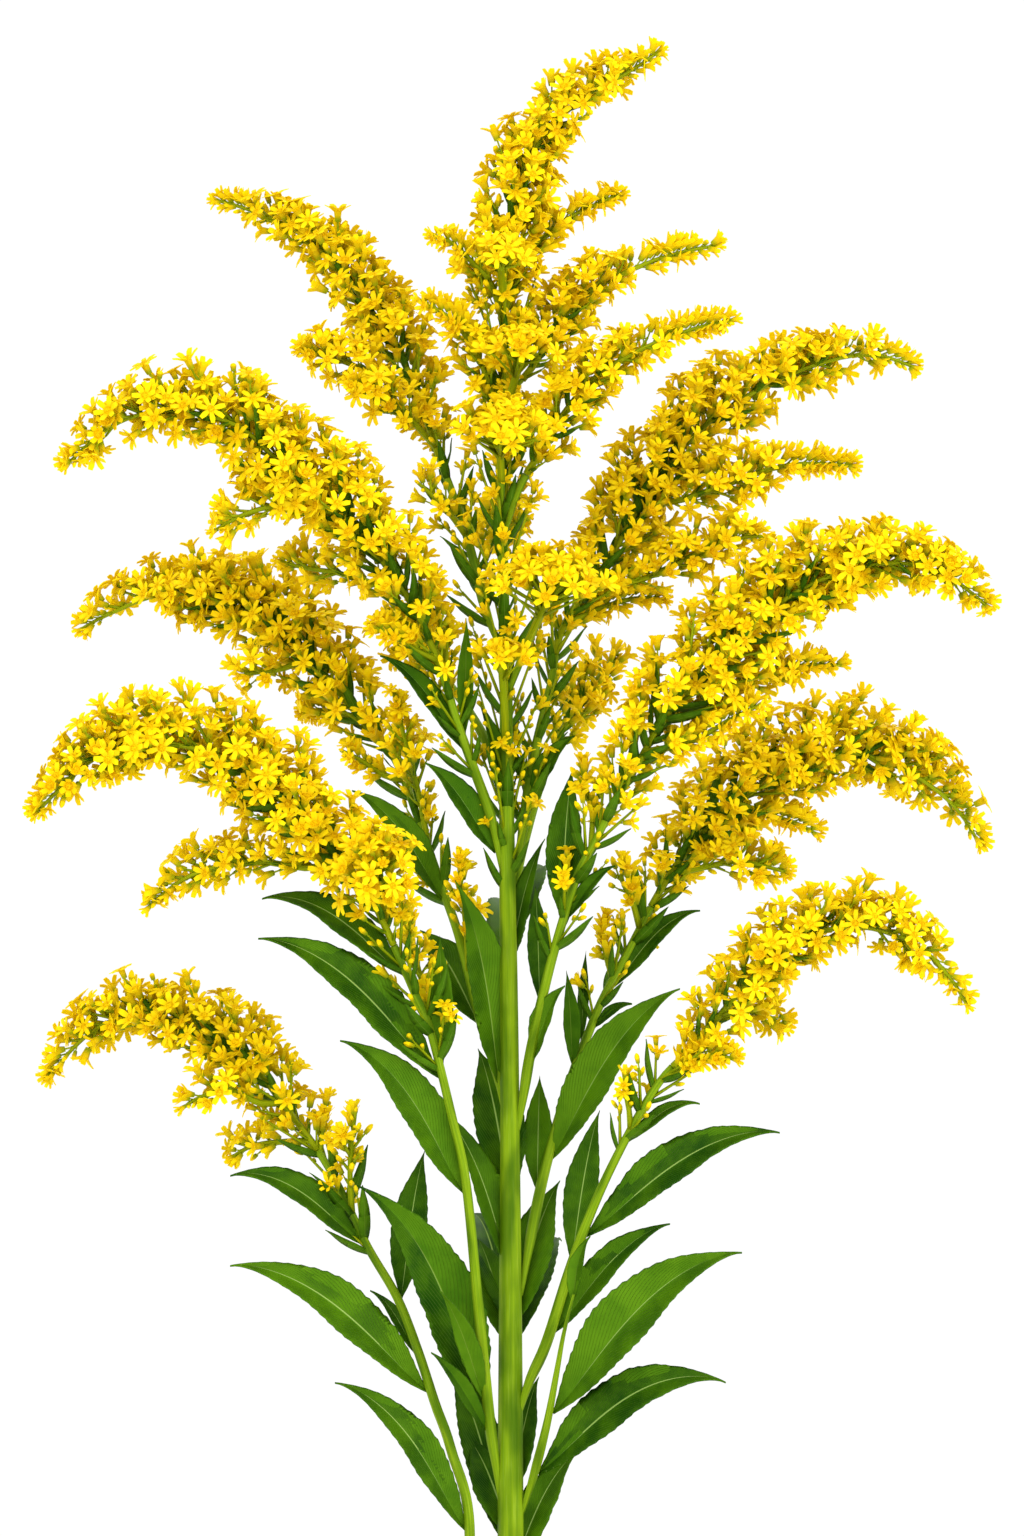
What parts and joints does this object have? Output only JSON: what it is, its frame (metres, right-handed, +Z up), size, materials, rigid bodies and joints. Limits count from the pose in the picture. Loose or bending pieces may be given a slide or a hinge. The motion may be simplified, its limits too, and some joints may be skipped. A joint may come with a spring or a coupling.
{
  "type": "potted goldenrod",
  "caption": "Branching goldenrod with arching sprays of small yellow flower heads and toothed lance-shaped leaves, growing in soil in a plain clay pot.",
  "frame": {"origin": "middle of the pot's underside, on the surface it stands on", "axes": "+Z up along the pot and the main stem, -Y towards the side that the picture shows, +X to that view's right"},
  "size_m": [0.2401, 0.16, 0.5639],
  "materials": {
    "clay": "matte",
    "soil": "matte",
    "stem": "satin",
    "flower": "matte"
  },
  "bodies": {
    "root": {"branch_left_1": "stem", "branch_left_2": "stem", "branch_left_3": "stem", "branch_left_4": "stem", "branch_right_2": "stem", "branch_right_3": "stem", "branch_right_4": "stem", "branch_right_5": "stem", "leafy_shoot_right": "stem", "main_stem": "stem", "plume_left_1": "flower", "plume_left_2": "flower", "plume_left_3": "flower", "plume_left_4": "flower", "plume_left_5": "flower", "plume_right_1a": "flower", "plume_right_1b": "flower", "plume_right_2": "flower", "plume_right_3": "flower", "plume_right_4": "flower", "plume_right_5": "flower", "plume_top": "flower", "pot": "clay", "shoot_left": "stem", "side_spray_left_1": "flower", "side_spray_left_2": "flower", "side_spray_left_3a": "flower", "side_spray_left_3b": "flower", "side_spray_left_4": "flower", "side_spray_left_5a": "flower", "side_spray_right_3": "flower", "side_spray_right_4a": "flower", "side_spray_right_5": "flower", "soil": "soil", "spray_back_1": "flower", "spray_back_2": "flower", "spray_back_3": "flower", "spray_front_2": "flower", "spray_front_3": "flower", "spray_front_4": "flower", "spray_front_5": "flower", "spray_left_top": "flower"}
  },
  "joints": []
}
